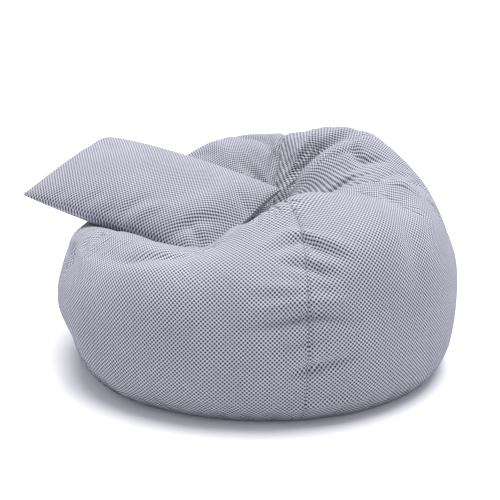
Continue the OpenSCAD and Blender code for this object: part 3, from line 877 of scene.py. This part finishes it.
def weave_material():
    """The cover's waffle weave with its seams: a groove, raised edges and a row of stitches beside it, the
    groove and the stitch holes darkened with painted shade.
    """
    s = Shading("cover_weave")
    cloth = s.node("ShaderNodeUVMap", {}, uv_map="cloth").outputs[0]
    x, y, _ = s.split(cloth)
    height, colour = waffle(s, x, y, cloth)
    across, along, _ = s.split(s.node("ShaderNodeUVMap", {}, uv_map="seam").outputs[0])
    groove = s.bell(across, SEAM_GROOVE)
    edge = s.bell(s.math("SUBTRACT", s.math("ABSOLUTE", across), SEAM_EDGE), EDGE_WIDTH)
    row = s.bell(s.math("SUBTRACT", across, STITCH_LINE), STITCH_WIDTH)
    stitch = s.math("MULTIPLY", row, s.math("GREATER_THAN", s.wave(along, STITCH_PITCH), STITCH_FROM))
    relief = s.math("SUBTRACT", s.math("MULTIPLY_ADD", edge, 0.4, height), s.math("MULTIPLY", groove, 0.7))
    relief = s.math("SUBTRACT", relief, s.math("MULTIPLY", stitch, 0.7))
    # painted shade in the seam's groove and in its stitch holes
    seam_shade = s.math("SUBTRACT", 1.0, s.math("MULTIPLY", s.math("MAXIMUM", groove, stitch), 0.15))
    return s.finish(s.times(colour, seam_shade), relief, WEAVE_DEPTH, 0.9, Specular_IOR_Level=0.2,
                    Sheen_Weight=0.15, Sheen_Roughness=0.45, Sheen_Tint=(0.86, 0.87, 1.0, 1))


def base_material():
    """The same weave on the flat base, laid along the floor."""
    s = Shading("base_weave")
    place = s.object_place()
    x, y, _ = s.split(place)
    height, colour = waffle(s, x, y, place)
    return s.finish(colour, height, 0.0012, 0.9, Sheen_Weight=0.6)


HERRINGBONE = 0.0018    # width of the strips of the tape in which the ribs slant one way
RIB_PITCH = 0.0012      # distance between these ribs
COIL_PITCH = 0.0011     # distance between two turns of the coil


def tape_material(name, axes):
    """Herringbone tape: ribs that slant one way and then the other across its width."""
    s = Shading(name)
    place = s.object_place(axes)
    x, y, _ = s.split(place)
    slant = s.math("PINGPONG", y, HERRINGBONE)
    ribs = s.wave(s.math("ADD", x, slant), RIB_PITCH)
    grain = s.noise(place, 1500.0)
    height = s.math("MULTIPLY_ADD", grain, 0.6, ribs)
    shade = s.math("MULTIPLY_ADD", height, 0.35, 0.35)
    colour = s.ramp(shade, (0.0, (0.07, 0.07, 0.09)), (1.0, (0.17, 0.17, 0.20)))
    return s.finish(colour, height, 0.0003, 0.85, Sheen_Weight=0.3)


def coil_material(name, axes):
    """Nylon coil: round turns side by side along the tape."""
    s = Shading(name)
    place = s.object_place(axes)
    x, _, _ = s.split(place)
    turns = s.wave(x, COIL_PITCH)
    shade = s.math("MULTIPLY_ADD", turns, 0.5, 0.5)
    colour = s.ramp(shade, (0.0, (0.03, 0.03, 0.04)), (1.0, (0.16, 0.16, 0.19)))
    gloss = s.math("MULTIPLY_ADD", s.noise(place, 300.0), 0.25, 0.25)
    return s.finish(colour, turns, 0.0005, gloss)


def metal_material():
    """Painted zip metal with fine scratches and rubbed spots."""
    s = Shading("zip_metal")
    place = s.object_place()
    rubbed = s.noise(place, 420.0, 6.0)
    paint_dark, paint_light, bare = (0.10, 0.10, 0.12), (0.17, 0.17, 0.20), (0.42, 0.42, 0.45)
    colour = s.ramp(rubbed, (0.35, paint_dark), (0.62, paint_light), (0.78, bare))
    streaks = s.noise(s.stretch(place, (400.0, 3000.0, 400.0)), 1.0)
    return s.finish(colour, streaks, 0.00008, s.math("MULTIPLY_ADD", rubbed, 0.3, 0.2), Metallic=0.7)


def plain_cloth(name, pitch, low, high):
    """Fine plain weave, one over and one under."""
    s = Shading(name)
    place = s.object_place()
    x, y, z = s.split(place)
    warp = s.wave(s.math("ADD", x, z), pitch)
    weft = s.wave(s.math("SUBTRACT", y, z), pitch)
    height = s.math("MULTIPLY_ADD", s.math("MULTIPLY", warp, weft), 0.5, s.noise(place, 700.0))
    worn = s.math("MULTIPLY_ADD", s.noise(place, 9.0), 0.2, 0.9)
    colour = s.times(s.ramp(height, (0.0, low), (1.0, high)), worn)
    return s.finish(colour, height, 0.0004, 0.85, Sheen_Weight=0.3)


def bead_material():
    """Loose foam beads of a few millimetres, coloured with painted light and shade: lightest in the middle of
    each bead, darker at its side and dark in the gaps between beads.
    """
    s = Shading("beads")
    place = s.object_place()
    from_middle = s.node("ShaderNodeTexVoronoi", {"Vector": place, "Scale": 260.0}).outputs["Distance"]
    # painted light and shade: each bead lit in its middle and shaded at its side, with painted shade in the
    # gaps
    top, side, gap_shade = (0.90, 0.90, 0.88), (0.82, 0.82, 0.80), (0.35, 0.35, 0.36)
    colour = s.ramp(from_middle, (0.0, top), (0.45, side), (0.8, gap_shade))
    height = s.math("SUBTRACT", 1.0, s.math("MULTIPLY", from_middle, from_middle))
    return s.finish(colour, height, 0.002, 0.6)


def fibre_material():
    """Curled filling fibre in drawn-out strands."""
    s = Shading("cushion_fibre")
    strands = s.noise(s.stretch(s.object_place(), (1.0, 1.0, 6.0)), 220.0, 8.0)
    colour = s.ramp(strands, (0.3, (0.62, 0.62, 0.60)), (0.7, (0.93, 0.93, 0.91)))
    return s.finish(colour, strands, 0.003, 0.95, Sheen_Weight=0.5)


# ---------------------------------------------------------------- stage and light

FLOOR_SIZE = 60         # half the side of the floor, which fills the whole background
FLOOR_DROP = 0.0005     # the floor lies this far below the base
FLOOR_COLOUR = (0.80, 0.80, 0.84, 1)
SKY_COLOUR = (0.965, 0.97, 1, 1)
SKY_STRENGTH = 0.77
LAMP_COLOUR = (1, 0.985, 0.955)
LAMP_STRENGTH = 4.95
LAMP_ANGLE = 50         # degrees across, so that shadows are soft
LAMP_TURN = (-12, 6, 0)     # degrees from straight down: from a little behind and to the right


def make_stage():
    """A white floor, an even sky and one wide lamp overhead."""
    reach = FLOOR_SIZE
    corners = [(-reach, -reach), (reach, -reach), (reach, reach), (-reach, reach)]
    floor = new_mesh("floor", [(x, y, -FLOOR_DROP) for x, y in corners], [(0, 1, 2, 3)])
    mat = bpy.data.materials.new("floor")
    mat.use_nodes = True
    shader = mat.node_tree.nodes["Principled BSDF"]
    shader.inputs["Base Color"].default_value = FLOOR_COLOUR
    shader.inputs["Roughness"].default_value = 0.9
    shader.inputs["Specular IOR Level"].default_value = 0.1
    floor.data.materials.append(mat)
    world = bpy.data.worlds.new("world")
    world.use_nodes = True
    background = world.node_tree.nodes["Background"]
    background.inputs["Color"].default_value = SKY_COLOUR
    background.inputs["Strength"].default_value = SKY_STRENGTH
    scene = bpy.context.scene
    scene.world = world
    scene.view_settings.view_transform = "Standard"
    data = bpy.data.lights.new("soft_sky", "SUN")
    data.energy = LAMP_STRENGTH
    data.color = LAMP_COLOUR
    data.angle = math.radians(LAMP_ANGLE)
    lamp = bpy.data.objects.new("soft_sky", data)
    lamp.rotation_euler = [math.radians(turn) for turn in LAMP_TURN]
    bpy.context.collection.objects.link(lamp)


# ---------------------------------------------------------------- everything put together

LINER = (0.014, 0.009)  # depth of the liner under the cover and the height of its foot above the floor
BEADS = (0.020, 0.012)  # the same for the beads in it
COVER = (1.0, 1.0)      # share of the cushion's thickness and of its length and width that each layer has
CASE = (0.94, 0.965)
FIBRE = (0.88, 0.94)


def paint(material, *objects):
    """Gives the objects this material and no other."""
    for obj in objects:
        obj.data.materials.clear()
        obj.data.materials.append(material)


make_camera()
make_stage()
form = BagForm()
rest = form.grid(PANEL_COLUMNS, PANEL_ROWS)
seat = Seat()
pillow = cushion_form(seat)
skin = pressed(folded(finer(bag_cloth(rest), True), rest), pillow[1])
cover = bag_cover(skin, finer(rest, True))
liner = inner_bag(skin, "liner", "liner_cloth", "liner_dome", *LINER)
beads = inner_bag(skin, "beads", "beads", "bead_fill", *BEADS)

cushion = cushion_piece("cushion_cover", "cover_weave", ["cushion_top_panel", "cushion_bottom_panel"],
                        pillow, seat, *COVER)
case = cushion_piece("cushion_case", "case_cloth", ["cushion_case_upper", "cushion_case_lower"],
                     pillow, seat, *CASE)
fibre = cushion_piece("cushion_fibre", "cushion_fibre", ["cushion_filling"], pillow, seat, *FIBRE)

linen = plain_cloth("liner_cloth", 0.0012, (0.55, 0.55, 0.53), (0.80, 0.80, 0.77))
paint(weave_material(), cover, cushion)
paint(base_material(), nodes["base_front_part"], nodes["base_rear_part"])
paint(linen, liner, nodes["liner_base_front_part"], nodes["liner_base_rear_part"])
paint(plain_cloth("case_cloth", 0.0009, (0.62, 0.62, 0.60), (0.84, 0.84, 0.81)), case)
paint(bead_material(), beads)
paint(fibre_material(), fibre)
metal = metal_material()
along_cushion = [list(row) for row in seat.axes]
for zip_name, axes in (("base_zip", None), ("liner_zip", None), ("cushion_zip", along_cushion)):
    parts = [name for name in nodes if name.startswith(zip_name)]
    tapes = [name for name in parts if "_tape_" in name]
    coils = [name for name in parts if "_coil_" in name]
    paint(tape_material(zip_name + "_tape", axes), *[nodes[name] for name in tapes])
    paint(coil_material(zip_name + "_coil", axes), *[nodes[name] for name in coils])
    paint(metal, *[nodes[name] for name in parts if name not in tapes + coils])
